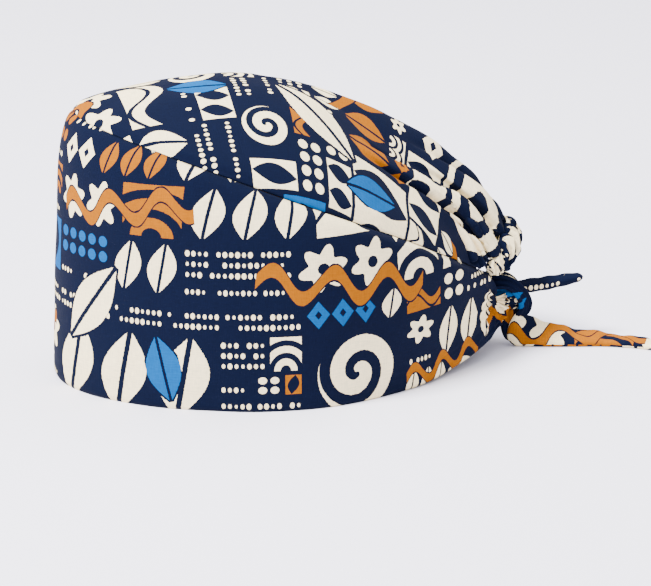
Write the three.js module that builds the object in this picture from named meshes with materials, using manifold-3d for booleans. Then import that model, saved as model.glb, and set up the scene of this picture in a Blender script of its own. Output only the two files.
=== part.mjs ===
// Tie-back surgical scrub cap, standing on its rim as it rests on a table.
//
// Millimetres, +Z up. The front of the cap faces -Y and the wearer's left side is +X. The
// pieces are made about the middle of the head opening, on the surface that the cap stands on,
// and the whole is then moved level, so that the origin is the middle of its outline with ties.
//
// Angles run round the cap in degrees: 0 is the middle of the front, 90 the left side, -90 the
// right side, and 180 the middle of the back.
import * as THREE from "three";
import Module from "manifold-3d";
import { mergeVertices } from "three/addons/utils/BufferGeometryUtils.js";

// Head opening and band
const RIM_FRONT = 117; // origin to the front of the rim
const RIM_BACK = 118; // origin to where the band's ends meet the knot
const RIM_HALF_WIDTH = 81;
const SEAM_FRONT = 104.5; // origin to the crown seam at the front
const SEAM_HALF_WIDTH = 71.5;
const FRONT_HEIGHT = 135; // rim to crown seam at the front
const BAND_WALL = 2; // two layers of cotton and the turned hem
const BAND_END_ANGLE = 172;
const END_LIFT = 20; // how high the band's lower edge is drawn up at the knot

// Crown
const CROWN_TOP = 147;
const CROWN_TOP_SETBACK = -25; // where the highest point lies along Y
const CROWN_WALL = 1.6;
const CROWN_ROUNDING = 1.97; // a higher value keeps the crown flat further out
const CROWN_SHOULDER = 0.85; // below 1, the cloth drops steeply at the seam

// Elastic casing along the back edge of the crown
const CASING_ANGLE = 145; // the casing runs between this angle on both sides
const CASING_SEAM_BACK = 113; // origin to the crown's edge in the middle of the back
const CASING_SEAM_HEIGHT = 67;
const CASING_HEIGHT = 21;
const CASING_THICKNESS = 10;
const CASING_LIFT_EARLY = 0.12; // how soon the crown's edge climbs behind the casing's ends
const CASING_END_TURN = 12; // degrees of the casing's half turn left off at each end
const CASING_PROUD = 4; // how far the tube's middle stands behind the crown's edge
const RUFFLES = 11;
const RUFFLE_DEPTH = 1.3;

// Knot and ties
const KNOT_HALF_WIDTH = 9;
const KNOT_HALF_DEPTH = 8;
const KNOT_HALF_HEIGHT = 9;
const WRAP_RADIUS = 9.5; // the strap that goes round the knot, at its middle
const WRAP_WIDTH = 9;
const WRAP_THICKNESS = 4;
const WRAP_LEAN = 14; // degrees that the wrap leans back at its top
const WRAP_SETBACK = 2; // knot's middle to the wrap's middle
const WRAP_OVAL_RATIO = 1.08; // the wrap's height to its mean, and its mean to its width
const LONG_TIE_LENGTH = 80;
const SHORT_TIE_LENGTH = 34;
const TIE_WIDTH = 17;
const TIE_THICKNESS = 3.6; // folded and sewn, four layers

const SEAM_GAP = 0.35; // between sewn pieces, so that each stays a solid of its own
const KNOT_GAP = 0.35;
const FLOOR_GAP = 0.1;
const CUT_LEAD_ANGLE = 14; // how far in front of a piece its cutter starts
const SLIVER = 0.03; // smaller faces than this are merged after a cut

// Facets round the closed sections, and sections along the pieces
const TUBE_SIDES = 12;
const TIE_SIDES = 12;
const LONG_TIE_STEPS = 13;
const SHORT_TIE_STEPS = 5;
const SEAM_STEPS = 40;
const BAND_END_STEPS = 6;
const CROWN_BACK_STEPS = 18;
const STEPS_PER_RUFFLE = 5;
const KNOT_STEPS = 24;

// Round the band from the front to the knot. pinch draws the outline in towards the middle as a
// share of its width, lift raises the lower edge as a share of END_LIFT, and height is the
// upper edge as a share of FRONT_HEIGHT.
const BAND_OUTLINE = [
  { at: 0, rimPinch: 0, lift: 0, seamPinch: 0, height: 1 },
  { at: 30, rimPinch: 0, lift: 0, seamPinch: 0, height: 0.967 },
  { at: 60, rimPinch: 0, lift: 0, seamPinch: 0, height: 0.872 },
  { at: 90, rimPinch: 0, lift: 0, seamPinch: 0, height: 0.723 },
  { at: 115, rimPinch: 0.13, lift: 0.01, seamPinch: 0.09, height: 0.562 },
  { at: 130, rimPinch: 0.25, lift: 0.14, seamPinch: 0.215, height: 0.451 },
  { at: 145, rimPinch: 0.36, lift: 0.39, seamPinch: 0.346, height: 0.356 },
  { at: 160, rimPinch: 0.42, lift: 0.74, seamPinch: 0.36, height: 0.304 },
  { at: 172, rimPinch: 0.31, lift: 1, seamPinch: 0.33, height: 0.283 },
];

// Up the band's wall: how far it has moved in from the rim's outline to the seam's.
const BAND_PROFILE = [
  { at: 0, inset: 0 },
  { at: 0.3, inset: 0.03 },
  { at: 0.6, inset: 0.08 },
  { at: 0.8, inset: 0.23 },
  { at: 0.92, inset: 0.54 },
  { at: 1, inset: 1 },
];

// Folds that fan out from the casing over the back of the crown. across is where a fold meets
// the casing, from -1 at its right end to 1 at its left; reach is its length, rise its height.
const CROWN_FOLDS = [
  { across: -0.8, reach: 62, rise: 2.6, width: 0.13 },
  { across: -0.52, reach: 84, rise: 3.6, width: 0.12 },
  { across: -0.24, reach: 48, rise: 2.2, width: 0.1 },
  { across: 0.0, reach: 60, rise: 2.6, width: 0.11 },
  { across: 0.24, reach: 42, rise: 2.2, width: 0.1 },
  { across: 0.44, reach: 56, rise: 2.4, width: 0.1 },
  { across: 0.69, reach: 80, rise: 4.6, width: 0.11 },
  { across: 0.9, reach: 44, rise: 1.8, width: 0.09 },
];
const FAN_SPREAD = 65; // the folds are twice as far apart this far in front of the casing

// Along the long tie, from the knot to its end on the table: back and side are shares of its
// length from the knot, up is the middle's height as a share of the knot's height, roll turns
// the strap's width from flat (0) to upright (90), and wide and thick are shares of its section.
const LONG_TIE = [
  { at: 0, back: -0.03, side: 0.04, up: 0.52, roll: 84, wide: 0.8, thick: 1.5 },
  { at: 0.1, back: 0.06, side: 0.09, up: 0.36, roll: 76, wide: 1, thick: 1.5 },
  { at: 0.3, back: 0.24, side: 0.17, up: 0.29, roll: 66, wide: 0.98, thick: 1.4 },
  { at: 0.5, back: 0.43, side: 0.25, up: 0.23, roll: 56, wide: 0.86, thick: 1.3 },
  { at: 0.7, back: 0.62, side: 0.33, up: 0.15, roll: 42, wide: 0.76, thick: 1.2 },
  { at: 0.88, back: 0.8, side: 0.4, up: 0.1, roll: 30, wide: 0.72, thick: 1.1 },
  { at: 1, back: 0.92, side: 0.45, up: 0.075, roll: 24, wide: 0.66, thick: 0.9 },
];
const SHORT_TIE = [
  { at: 0, back: 0, side: 0, up: 1.0, roll: 66, wide: 0.42, thick: 1.4 },
  { at: 0.25, back: 0.25, side: 0.01, up: 1.01, roll: 64, wide: 0.54, thick: 1.3 },
  { at: 0.55, back: 0.55, side: 0.03, up: 1.07, roll: 60, wide: 0.64, thick: 1.2 },
  { at: 0.85, back: 0.85, side: 0.06, up: 1.16, roll: 58, wide: 0.58, thick: 1.1 },
  { at: 1, back: 1, side: 0.08, up: 1.19, roll: 58, wide: 0.38, thick: 0.8 },
];

const APEX = new THREE.Vector3(0, CROWN_TOP_SETBACK, CROWN_TOP);
const UP = new THREE.Vector3(0, 0, 1);
const smooth = THREE.MathUtils.smoothstep;
const mix = THREE.MathUtils.lerp;
const radians = THREE.MathUtils.degToRad;

// One column of a table at x, on a smooth curve through its rows.
function read(table, column, x) {
  const last = table.length - 1;
  const i = Math.min(
    last - 1,
    Math.max(0, table.findIndex((row) => row.at > x) - 1 + (x >= table[last].at ? last : 0)),
  );
  const slope = (k) => {
    const [a, b] = [table[Math.max(0, k - 1)], table[Math.min(last, k + 1)]];
    return (b[column] - a[column]) / (b.at - a.at);
  };
  const [a, b] = [table[i], table[i + 1]];
  const step = b.at - a.at;
  const t = THREE.MathUtils.clamp((x - a.at) / step, 0, 1);
  return (
    a[column] * (1 + 2 * t) * (1 - t) ** 2 +
    b[column] * t * t * (3 - 2 * t) +
    step * (slope(i) * t * (1 - t) ** 2 - slope(i + 1) * t * t * (1 - t))
  );
}

// A closed solid through loops of points, all equally long, with a flat cap on the first and
// last. A cap is a strip of faces between the loop's two halves.
function loft(loops) {
  const count = loops[0].length;
  const index = [];
  const at = (loop, point) => loop * count + (point % count);
  for (let i = 0; i < loops.length - 1; i++)
    for (let j = 0; j < count; j++) {
      index.push(at(i, j), at(i + 1, j + 1), at(i, j + 1));
      index.push(at(i, j), at(i + 1, j), at(i + 1, j + 1));
    }
  for (let j = 0; j < count / 2 - 1; j++) {
    const [a, b, c, d] = [j, j + 1, count - 2 - j, count - 1 - j];
    const end = loops.length - 1;
    index.push(at(0, a), at(0, b), at(0, c), at(0, a), at(0, c), at(0, d));
    index.push(at(end, a), at(end, c), at(end, b), at(end, a), at(end, d), at(end, c));
  }
  const geometry = new THREE.BufferGeometry().setFromPoints(loops.flat());
  geometry.setIndex(index);
  return geometry;
}

// Outlines of the band's lower edge and of the crown seam.
function rimPoint(angle) {
  const turn = Math.abs(angle);
  const a = radians(angle);
  const long = mix(RIM_FRONT, RIM_BACK, smooth(turn, 60, 120));
  return new THREE.Vector3(
    RIM_HALF_WIDTH * Math.sin(a) * (1 - read(BAND_OUTLINE, "rimPinch", turn)),
    -long * Math.cos(a),
    END_LIFT * Math.max(0, read(BAND_OUTLINE, "lift", turn)),
  );
}

function seamPoint(angle) {
  const turn = Math.abs(angle);
  const a = radians(angle);
  const long = mix(SEAM_FRONT, RIM_BACK, smooth(turn, 60, 150));
  return new THREE.Vector3(
    SEAM_HALF_WIDTH * Math.sin(a) * (1 - read(BAND_OUTLINE, "seamPinch", turn)),
    -long * Math.cos(a),
    FRONT_HEIGHT * read(BAND_OUTLINE, "height", turn),
  );
}

function bandPoint(angle, share) {
  const rim = rimPoint(angle);
  const seam = seamPoint(angle);
  const inset = read(BAND_PROFILE, "inset", share);
  return new THREE.Vector3(
    mix(rim.x, seam.x, inset),
    mix(rim.y, seam.y, inset),
    mix(rim.z, seam.z, share),
  );
}

// The level direction that points out of the cap, from a curve that runs round it.
function levelNormal(curve, angle) {
  const step = 0.5;
  const along = curve(angle + step).sub(curve(angle - step));
  return new THREE.Vector3(along.y, -along.x, 0).normalize();
}

// One section of the band's wall, outside going up and inside coming down, with each face moved
// out by grow and both edges lengthened by it.
function bandSection(angle, shares, grow = 0) {
  const outside = [];
  const inside = [];
  for (const share of shares) {
    const point = bandPoint(angle, share);
    const out = levelNormal((a) => bandPoint(a, share), angle);
    if (share === shares[0]) point.z -= grow;
    if (share === shares[shares.length - 1]) point.z += grow;
    outside.push(point.clone().addScaledVector(out, grow));
    inside.unshift(point.addScaledVector(out, -BAND_WALL - grow));
  }
  return [...outside, ...inside];
}

const range = (from, to, count) =>
  Array.from({ length: count + 1 }, (_, i) => mix(from, to, i / count));

const seamAngles = range(-CASING_ANGLE, CASING_ANGLE, SEAM_STEPS);

function makeBand() {
  const toEnd = range(CASING_ANGLE, BAND_END_ANGLE, BAND_END_STEPS).slice(1);
  const angles = [...toEnd.map((a) => -a).reverse(), ...seamAngles, ...toEnd];
  const shares = [0, 0.3, 0.6, 0.8, 0.92, 1];
  return loft(angles.map((angle) => bandSection(angle, shares)));
}

// The crown's lower edge: on the crown seam round to CASING_ANGLE, then over the casing.
function crownEdge(angle) {
  const turn = Math.abs(angle);
  if (turn <= CASING_ANGLE) return seamPoint(angle).addScaledVector(UP, SEAM_GAP);
  const corner = seamPoint(CASING_ANGLE).addScaledVector(UP, SEAM_GAP);
  const onward = seamPoint(CASING_ANGLE + 1).sub(seamPoint(CASING_ANGLE)).setZ(0);
  const handle = (CASING_SEAM_BACK - corner.y) / 2;
  const back = new THREE.Vector3(0, CASING_SEAM_BACK, CASING_SEAM_HEIGHT);
  const point = new THREE.CubicBezierCurve3(
    corner,
    corner.clone().add(onward.setLength(handle)).lerp(back, CASING_LIFT_EARLY),
    new THREE.Vector3(handle, back.y, back.z),
    back,
  ).getPoint((turn - CASING_ANGLE) / (180 - CASING_ANGLE));
  point.x *= Math.sign(angle);
  return point;
}

// The crown before it is gathered: out is 0 at its top and 1 at its edge.
function crownBase(angle, out) {
  const edge = crownEdge(angle);
  const fall = (1 - out ** CROWN_ROUNDING) ** CROWN_SHOULDER;
  return new THREE.Vector3(
    mix(APEX.x, edge.x, out),
    mix(APEX.y, edge.y, out),
    mix(edge.z, APEX.z, fall),
  );
}

// The way out of the crown's cloth, turned level at its edge so that it stands on the seam.
function crownNormal(angle, out) {
  const inner = Math.max(0.02, out - 0.02);
  const along = crownBase(angle + 0.5, inner).sub(crownBase(angle - 0.5, inner));
  const down = crownBase(angle, Math.min(0.99, inner + 0.02)).sub(crownBase(angle, inner));
  const normal = down.cross(along).normalize();
  const level = levelNormal(crownEdge, angle);
  return normal.lerp(level, smooth(out, 0.88, 1)).normalize();
}

// How far a fold lifts the cloth: a round ridge with a valley beside it, rising to the casing.
function foldRise(point, angle, out) {
  const behind = CASING_SEAM_BACK - point.y;
  const across = point.x / (crownEdge(CASING_ANGLE).x * (1 + behind / FAN_SPREAD));
  let rise = 0;
  for (const fold of CROWN_FOLDS) {
    const strength = fold.rise * smooth(fold.reach - behind, 0, fold.reach * 0.7);
    const off = (across - fold.across) / fold.width;
    rise += strength * (Math.exp(-off * off) - 0.5 * Math.exp(-((Math.abs(off) - 1.7) ** 2)));
  }
  const onCasing = smooth(Math.abs(angle), CASING_ANGLE - 7, CASING_ANGLE + 3);
  return rise * mix(1 - smooth(out, 0.75, 0.98), mix(1, 0.35, smooth(out, 0.85, 1)), onCasing);
}

function crownRing(angles, out, depth) {
  return angles.map((angle) => {
    const base = crownBase(angle, out);
    const normal = crownNormal(angle, out);
    return base.clone().addScaledVector(normal, foldRise(base, angle, out) - depth);
  });
}

function makeCrown() {
  const back = range(CASING_ANGLE, 180, CROWN_BACK_STEPS).slice(1, -1);
  const angles = [180, ...back.map((a) => -a).reverse(), ...seamAngles, ...back];
  const outs = [0.06, 0.2, 0.34, 0.47, 0.58, 0.68, 0.76, 0.83, 0.89, 0.94, 0.98, 1];
  const outside = outs.map((out) => crownRing(angles, out, 0));
  const inside = outs.map((out) => crownRing(angles, out, CROWN_WALL)).reverse();
  return loft([...outside, ...inside]);
}

// The ruffled tube that holds the elastic. turn runs from 0 at its left end to 180 at its right.
function casingSection(turn) {
  const a = radians(turn);
  const angle = mix(CASING_ANGLE, 360 - CASING_ANGLE, turn / 180);
  const edge = crownEdge(angle > 180 ? angle - 360 : angle);
  const fullness = Math.sin(a);
  const halfHeight = (CASING_HEIGHT / 2) * fullness;
  const halfThick = (CASING_THICKNESS / 2) * mix(0.35, 1, fullness);
  const ruffle = RUFFLE_DEPTH * fullness * Math.cos(2 * RUFFLES * a);
  const out = new THREE.Vector3(Math.cos(a), Math.sin(a), 0);
  const middle = edge
    .addScaledVector(UP, -halfHeight - SEAM_GAP)
    .addScaledVector(out, CASING_PROUD * fullness - CROWN_WALL / 2);
  return range(0, 2 * Math.PI, TUBE_SIDES)
    .slice(0, -1)
    .map((side) => {
      const behind = Math.max(0, Math.cos(side));
      return middle
        .clone()
        .addScaledVector(out, Math.cos(side) * halfThick + behind * ruffle)
        .addScaledVector(UP, Math.sin(side) * halfHeight);
    });
}

// Solids for cutting one piece by another.
const wasm = await Module();
wasm.setup();

function solidOf(geometry) {
  const bare = new THREE.BufferGeometry();
  bare.setAttribute("position", geometry.getAttribute("position"));
  bare.setIndex(geometry.getIndex());
  const merged = mergeVertices(bare, 1e-4);
  return new wasm.Manifold(
    new wasm.Mesh({
      numProp: 3,
      vertProperties: merged.attributes.position.array,
      triVerts: new Uint32Array(merged.index.array),
    }),
  );
}

// What is left of a solid after a cut, without the slivers along the cut's edge.
function geometryOf(solid) {
  const { vertProperties, triVerts } = solid.simplify(SLIVER).getMesh();
  const geometry = new THREE.BufferGeometry();
  geometry.setAttribute("position", new THREE.BufferAttribute(vertProperties, 3));
  geometry.setIndex(new THREE.BufferAttribute(triVerts, 1));
  return geometry;
}

// The band's two ends, each face moved out by grow, to cut what is sewn or tied to them.
function bandEnds(firstAngle, grow) {
  const shares = [0, 0.5, 1];
  return [-1, 1].map((side) => {
    const angles = range(firstAngle, BAND_END_ANGLE + 1, BAND_END_STEPS);
    const ordered = side < 0 ? angles.map((a) => -a).reverse() : angles;
    return solidOf(loft(ordered.map((angle) => bandSection(angle, shares, grow))));
  });
}

const cutFrom = (solid, cutters) => cutters.reduce((left, cutter) => left.subtract(cutter), solid);

function makeCasing() {
  const turns = range(CASING_END_TURN, 180 - CASING_END_TURN, RUFFLES * STEPS_PER_RUFFLE);
  const tube = solidOf(loft(turns.map(casingSection)));
  return geometryOf(cutFrom(tube, bandEnds(CASING_ANGLE - CUT_LEAD_ANGLE, SEAM_GAP)));
}

// The knot sits between the band's two ends, halfway up them.
const bandEnd = bandPoint(BAND_END_ANGLE, 0.5);
const knotCentre = new THREE.Vector3(0, bandEnd.y + KNOT_HALF_DEPTH / 3, bandEnd.z);

function knotCore(grow) {
  const ball = new THREE.SphereGeometry(1, KNOT_STEPS - 4, KNOT_STEPS / 2);
  ball.scale(KNOT_HALF_WIDTH + grow, KNOT_HALF_DEPTH + grow, KNOT_HALF_HEIGHT + grow);
  return ball.translate(...knotCentre);
}

// The strap that goes once round the knot, leaning back at its top.
function knotWrap(grow) {
  const lean = Math.sin(radians(WRAP_LEAN));
  const path = new THREE.CatmullRomCurve3(
    range(0, 2 * Math.PI, KNOT_STEPS)
      .slice(0, -1)
      .map((a) => {
        const side = (WRAP_RADIUS / WRAP_OVAL_RATIO) * Math.cos(a);
        const up = WRAP_RADIUS * WRAP_OVAL_RATIO * Math.sin(a);
        return knotCentre.clone().add(new THREE.Vector3(side, WRAP_SETBACK + up * lean, up));
      }),
    true,
  );
  const section = new THREE.Shape();
  section.absellipse(0, 0, WRAP_THICKNESS / 2 + grow, WRAP_WIDTH / 2 + grow, 0, 2 * Math.PI);
  return new THREE.ExtrudeGeometry(section, {
    extrudePath: path,
    steps: KNOT_STEPS,
    curveSegments: KNOT_STEPS / 4 - 1,
    bevelEnabled: false,
  });
}

function knotEnvelope(grow) {
  return solidOf(knotCore(grow)).add(solidOf(knotWrap(grow)));
}

function makeKnot() {
  return geometryOf(cutFrom(knotEnvelope(0), bandEnds(BAND_END_ANGLE - CUT_LEAD_ANGLE, KNOT_GAP)));
}

// A strap from the knot, through the rows of its table.
function tieSection(table, length, at) {
  const middleAt = (x) =>
    new THREE.Vector3(
      length * read(table, "side", x),
      knotCentre.y + KNOT_HALF_DEPTH / 2 + length * read(table, "back", x),
      knotCentre.z * read(table, "up", x),
    );
  const along = middleAt(at + 0.02).sub(middleAt(at - 0.02)).setZ(0).normalize();
  const across = new THREE.Vector3(along.y, -along.x, 0);
  const roll = radians(read(table, "roll", at));
  const wide = across.clone().multiplyScalar(Math.cos(roll)).addScaledVector(UP, Math.sin(roll));
  const thick = across.clone().multiplyScalar(-Math.sin(roll)).addScaledVector(UP, Math.cos(roll));
  const halfWide = (TIE_WIDTH / 2) * read(table, "wide", at);
  const halfThick = (TIE_THICKNESS / 2) * read(table, "thick", at);
  // A flattened oval: the two faces of the strap stay nearly flat between its folded edges.
  const section = range(0, 2 * Math.PI, TIE_SIDES)
    .slice(0, -1)
    .map((side) => {
      const [c, s] = [Math.cos(side), Math.sin(side)];
      return middleAt(at)
        .addScaledVector(wide, halfWide * Math.sign(c) * Math.abs(c) ** 0.8)
        .addScaledVector(thick, halfThick * Math.sign(s) * Math.abs(s) ** 0.6);
    });
  const lowest = Math.min(...section.map((point) => point.z));
  return section.map((point) => point.addScaledVector(UP, Math.max(0, FLOOR_GAP - lowest)));
}

function strap(table, length, start, steps) {
  return loft(range(start, 1, steps).map((at) => tieSection(table, length, at)));
}

// The long tie comes out from under the knot, so it is cut to the knot's shape.
function makeLongTie() {
  const whole = solidOf(strap(LONG_TIE, LONG_TIE_LENGTH, 0, LONG_TIE_STEPS));
  return geometryOf(cutFrom(whole, [knotEnvelope(KNOT_GAP).hull()]));
}

// The short tie starts flat against the back of the knot.
function makeShortTie() {
  const start = (KNOT_HALF_DEPTH / 2 + KNOT_GAP) / SHORT_TIE_LENGTH;
  return strap(SHORT_TIE, SHORT_TIE_LENGTH, start, SHORT_TIE_STEPS);
}

// Printed cotton, shown in its ground colour with the crown and the ties a shade apart.
const cotton = (name, colour) =>
  new THREE.MeshStandardMaterial({ name, color: colour, roughness: 0.85, metalness: 0 });
const bandCotton = cotton("band_cotton", 0x24366a);
const crownCotton = cotton("crown_cotton", 0x2b3f78);
const casingCotton = cotton("casing_cotton", 0x1f2f5e);
const tieCotton = cotton("tie_cotton", 0x30457f);

const cap = new THREE.Group();
const piece = (name, geometry, material) => {
  const mesh = new THREE.Mesh(geometry, material);
  mesh.name = name;
  cap.add(mesh);
};
piece("band", makeBand(), bandCotton);
piece("crown", makeCrown(), crownCotton);
piece("elastic_casing", makeCasing(), casingCotton);
piece("knot", makeKnot(), tieCotton);
piece("long_tie", makeLongTie(), tieCotton);
piece("short_tie", makeShortTie(), tieCotton);

const middle = new THREE.Box3().setFromObject(cap).getCenter(new THREE.Vector3());
cap.position.set(-middle.x, -middle.y, 0);

export default cap;
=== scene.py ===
# %% [markdown]
# # A tie-back surgical scrub cap
# The cap is sewn from printed cotton poplin: a deep side band, a crown that is gathered at the
# back into an elastic casing, and two ties, knotted. It stands on its rim, as it does on a table.
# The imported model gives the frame, and each piece of cloth below takes the place of one of its
# solids.

# %% Load the frame
import math
import random

import bpy
import numpy as np
from mathutils import Matrix, Vector


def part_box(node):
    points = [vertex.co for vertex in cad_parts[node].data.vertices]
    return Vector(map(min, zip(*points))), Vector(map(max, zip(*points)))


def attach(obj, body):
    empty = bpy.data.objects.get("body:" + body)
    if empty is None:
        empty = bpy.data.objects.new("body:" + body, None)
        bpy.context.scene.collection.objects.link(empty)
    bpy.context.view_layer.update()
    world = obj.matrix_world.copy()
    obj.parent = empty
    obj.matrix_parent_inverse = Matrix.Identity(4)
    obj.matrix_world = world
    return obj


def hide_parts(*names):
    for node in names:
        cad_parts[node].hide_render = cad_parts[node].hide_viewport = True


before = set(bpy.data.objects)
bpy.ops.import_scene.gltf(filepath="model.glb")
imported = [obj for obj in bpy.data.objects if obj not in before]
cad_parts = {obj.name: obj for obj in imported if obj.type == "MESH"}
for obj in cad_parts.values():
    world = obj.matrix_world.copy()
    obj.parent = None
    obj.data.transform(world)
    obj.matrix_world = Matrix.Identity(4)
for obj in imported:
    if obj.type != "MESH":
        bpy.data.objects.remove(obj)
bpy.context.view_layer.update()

MM = 0.001

# %% [markdown]
# ## Camera
# The photograph is taken from the wearer's left, a little in front of the cap and from above, with
# a long lens. So the camera stands 1.4 m away and looks along a direction given by two angles.

# %% Camera
AZIMUTH = 77
ELEVATION = 17
DISTANCE = 1400
WIDTH_SEEN = 331.4  # mm across the picture at the cap
SENSOR = 36
RIM_FRONT = 117
cap_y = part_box("band")[0][1] / MM + RIM_FRONT  # the head opening's middle, in the frame

turn, rise = math.radians(AZIMUTH), math.radians(ELEVATION)
look = Vector((-math.sin(turn) * math.cos(rise), math.cos(turn) * math.cos(rise), -math.sin(rise)))
right = look.cross(Vector((0, 0, 1))).normalized()
up = right.cross(look)
target = Vector((0, cap_y, 0)) + 21.1 * right + 32.8 * up
camera_data = bpy.data.cameras.new("camera")
camera_data.sensor_width = SENSOR
camera_data.lens = DISTANCE * SENSOR / WIDTH_SEEN
camera_data.clip_end = 20
camera = bpy.data.objects.new("camera", camera_data)
bpy.context.scene.collection.objects.link(camera)
axes = Matrix((right, up, -look)).transposed().to_4x4()
camera.matrix_world = Matrix.Translation((target - DISTANCE * look) * MM) @ axes
bpy.context.scene.camera = camera
print("camera", [round(v, 3) for v in camera.location], "lens", round(camera_data.lens, 1))

# %% [markdown]
# ## Reading a table
# Each outline is a short table: a few stations, and a value for each. A smooth curve through the
# rows gives the value anywhere, which is how a pattern cutter joins measured points.


# %% Smooth curve through a table
def read(table, column, x):
    at, value = np.array(table["at"], float), np.array(table[column], float)
    x = np.asarray(x, float)
    last = len(at) - 1
    i = np.clip(np.searchsorted(at, x, side="right") - 1, 0, last - 1)
    before = np.maximum(np.arange(last + 1) - 1, 0)
    after = np.minimum(np.arange(last + 1) + 1, last)
    slope = (value[after] - value[before]) / (at[after] - at[before])
    step = at[i + 1] - at[i]
    t = np.clip((x - at[i]) / step, 0, 1)
    return (
        value[i] * (1 + 2 * t) * (1 - t) ** 2
        + value[i + 1] * t * t * (3 - 2 * t)
        + step * (slope[i] * t * (1 - t) ** 2 - slope[i + 1] * t * t * (1 - t))
    )


def smooth(x, low, high):
    t = np.clip((np.asarray(x, float) - low) / (high - low), 0, 1)
    return t * t * (3 - 2 * t)


def mix(a, b, t):
    return a + (b - a) * t


# %% [markdown]
# ## The print, as a chart
# The cotton is navy with a dense print in cream, orange and blue. The motifs here are leaves,
# flowers, scales and rows of small marks, at the sizes of the real print: large shapes,
# middle-sized rows, and fine lines. A printer's repeat is cut up into oblong fields, and each
# field gets one motif and one ink. The chart is worked out once, and every piece of cloth is cut
# from it.

# %% Divide the repeat into fields
REPEAT_ALONG, REPEAT_UP = 330, 270
SMALL_FIELD, TALL_FIELD = 11, 45  # mm, how low and how tall a field may be
FIELD_GAP = 2.2
MARK_LINE = 5.2
LARGE = ["leaves", "swirl", "cutout", "petals", "scales", "leaves", "hills"]
MEDIUM = ["scales", "lozenges", "leaves", "hills", "dots", "cutout", "petals"]
# how many of a motif stand side by side in a length as long as the field is high
SIDE_BY_SIDE = {
    "leaves": 1.35, "cutout": 1.35, "petals": 1, "scales": 1, "lozenges": 1, "dots": 2,
    "hills": 0.46, "marks": 1.7,
}


def divide(left, low, width, height, dice):
    tall, wide = height > TALL_FIELD, width > 2.8 * height
    if tall or (height > 2.1 * SMALL_FIELD and not wide and dice.random() < 0.46):
        cut = height * dice.choice([0.3, 0.38, 0.62, 0.7])
        yield from divide(left, low, width, cut, dice)
        yield from divide(left, low + cut, width, height - cut, dice)
    elif wide or (width > 2 * height and dice.random() < 0.35):
        cut = width * dice.choice([0.3, 0.42, 0.58, 0.7])
        yield from divide(left, low, cut, height, dice)
        yield from divide(left + cut, low, width - cut, height, dice)
    else:
        yield left, low, width, height


dice = random.Random(41)
fields = []
for left, low, width, height in divide(0, 0, REPEAT_ALONG, REPEAT_UP, dice):
    if height >= 24:
        motif = LARGE[len(fields) % len(LARGE)]
        ink = dice.choices(["cream", "orange", "blue"], [0.86, 0.08, 0.06])[0]
    elif height >= SMALL_FIELD and dice.random() < 0.66:
        motif = MEDIUM[len(fields) % len(MEDIUM)]
        ink = dice.choices(["cream", "orange", "blue"], [0.78, 0.16, 0.06])[0]
    else:
        motif, ink = "marks", "cream"
    fields.append((left, low, width, height, 0, motif, ink))
print(len(fields), "fields in the repeat")

# %% [markdown]
# Over the fields lie larger strokes and leaves at a slant, as a second screen is printed over the
# first. They hide that the first one is laid out in oblongs.

# %% Overprinted strokes
OVERPRINT = [
    # left, low, width, height, tilt in degrees, motif, ink
    (4, 92, 82, 22, 7, "wave", "orange"),
    (16, 26, 24, 54, -38, "leaf", "cream"),
    (60, 8, 20, 36, 14, "leaf", "blue"),
    (84, 118, 26, 58, 52, "leaf", "cream"),
    (114, 54, 96, 24, -6, "wave", "orange"),
    (152, 112, 18, 34, -12, "leaf", "blue"),
    (196, 6, 58, 17, 4, "wave", "orange"),
    (228, 88, 20, 38, 20, "leaf", "lightblue"),
    (252, 50, 26, 60, -55, "leaf", "cream"),
    (262, 18, 62, 20, 8, "wave", "orange"),
    (286, 120, 30, 30, 0, "petals", "orange"),
    (10, 168, 20, 36, -16, "leaf", "lightblue"),
    (38, 206, 26, 58, 60, "leaf", "cream"),
    (80, 190, 84, 24, 6, "wave", "orange"),
    (108, 232, 30, 30, 0, "petals", "cream"),
    (168, 158, 26, 62, -48, "leaf", "cream"),
    (206, 200, 20, 38, 10, "leaf", "blue"),
    (238, 170, 72, 22, -8, "wave", "orange"),
    (256, 226, 28, 54, 35, "leaf", "cream"),
    (296, 196, 18, 34, -10, "leaf", "lightblue"),
]
MOTIFS = [
    "none", "cutout", "leaves", "leaf", "scales", "petals", "swirl", "lozenges", "dots", "wave",
    "hills", "marks",
]
INKS = ["cream", "orange", "blue", "lightblue"]
print(len(OVERPRINT), "overprinted strokes,", len(MOTIFS) - 1, "motifs")

# %% [markdown]
# ## From a flat piece of cloth to a shaped one
# A woven panel starts as a flat grid, which is what a primitive grid is. Each crossing of the grid
# is then moved to its place on the cap, and keeps its place on the flat cloth in the UV map, so
# that the print and the weave follow the folds as they do on real cloth.


# %% Make one piece of cloth
def cloth_normals(points):
    across, along = np.gradient(points, axis=1), np.gradient(points, axis=0)
    normal = np.cross(across, along)
    return normal / (np.linalg.norm(normal, axis=2, keepdims=True) + 1e-9)


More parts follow.
